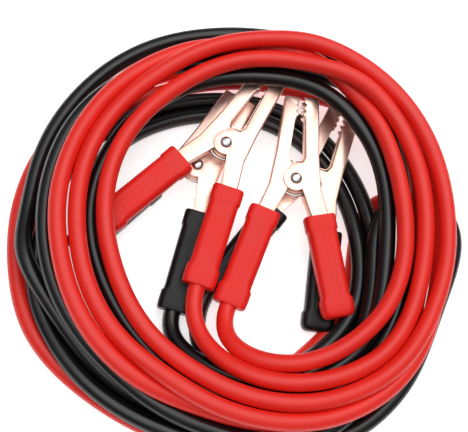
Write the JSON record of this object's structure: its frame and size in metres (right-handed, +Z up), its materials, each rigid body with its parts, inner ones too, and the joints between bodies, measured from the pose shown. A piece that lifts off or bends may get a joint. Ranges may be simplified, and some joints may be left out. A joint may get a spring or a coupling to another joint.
{
  "type": "car jumper cable",
  "caption": "Red and black booster cables for starting a car from another battery: one loose coil with toothed spring clamps in moulded grips on the ends of both cables.",
  "frame": {"origin": "bottom centre of the clamps' box, on the floor plane", "axes": "+Z up from the floor, +Y towards the tips of the jaws, +X to the right seen from above"},
  "size_m": [0.3516, 0.3506, 0.0793],
  "materials": {
    "clamp_plate": "bright copper plating on folded sheet",
    "rivet": "polished",
    "spring": "drawn wire",
    "red_grip": "soft moulded vinyl",
    "black_grip": "soft moulded vinyl",
    "red_jacket": "smooth extruded vinyl",
    "black_jacket": "smooth extruded vinyl"
  },
  "bodies": {
    "cables": {"red_a_right_half": "clamp_plate", "red_a_right_grip": "red_grip", "red_a_rivet": "rivet", "red_a_spring": "spring", "red_b_left_half": "clamp_plate", "red_b_left_grip": "red_grip", "red_b_rivet": "rivet", "red_b_spring": "spring", "black_a_right_half": "clamp_plate", "black_a_right_grip": "black_grip", "black_a_rivet": "rivet", "black_a_spring": "spring", "black_b_left_half": "clamp_plate", "black_b_left_grip": "black_grip", "black_b_rivet": "rivet", "black_b_spring": "spring", "red_a_lead": "red_jacket", "red_b_lead": "red_jacket", "red_cable_coil_lower": "red_jacket", "red_cable_coil_upper": "red_jacket", "black_a_lead": "black_jacket", "black_b_lead": "black_jacket", "black_cable_coil_lower": "black_jacket", "black_cable_coil_upper": "black_jacket"},
    "red_a_left_side": {"red_a_left_half": "clamp_plate", "red_a_left_grip": "red_grip"},
    "red_b_right_side": {"red_b_right_half": "clamp_plate", "red_b_right_grip": "red_grip"},
    "black_a_left_side": {"black_a_left_half": "clamp_plate", "black_a_left_grip": "black_grip"},
    "black_b_right_side": {"black_b_right_half": "clamp_plate", "black_b_right_grip": "black_grip"}
  },
  "joints": [
    {"name": "red_a_pivot", "type": "hinge", "parent": "cables", "child": "red_a_left_side", "pos_m": [0.00522, 0.04002, 0.03762], "axis": [0, -0.1025, 0.9947], "range_deg": [0, 24], "stiffness_Nm_per_rad": 2, "springref_deg": -28.65, "deforming": ["red_a_spring"]},
    {"name": "red_b_pivot", "type": "hinge", "parent": "cables", "child": "red_b_right_side", "pos_m": [0.06002, 0.01257, 0.0348], "axis": [0, 0.1025, -0.9947], "range_deg": [0, 24], "stiffness_Nm_per_rad": 2, "springref_deg": -28.65, "deforming": ["red_b_spring"]},
    {"name": "black_a_pivot", "type": "hinge", "parent": "cables", "child": "black_a_left_side", "pos_m": [-0.01578, 0.02757, 0.02096], "axis": [0, -0.1025, 0.9947], "range_deg": [0, 24], "stiffness_Nm_per_rad": 2, "springref_deg": -28.65, "deforming": ["black_a_spring"]},
    {"name": "black_b_pivot", "type": "hinge", "parent": "cables", "child": "black_b_right_side", "pos_m": [0.07922, 0.01414, 0.01958], "axis": [0, 0.1025, -0.9947], "range_deg": [0, 24], "stiffness_Nm_per_rad": 2, "springref_deg": -28.65, "deforming": ["black_b_spring"]}
  ]
}
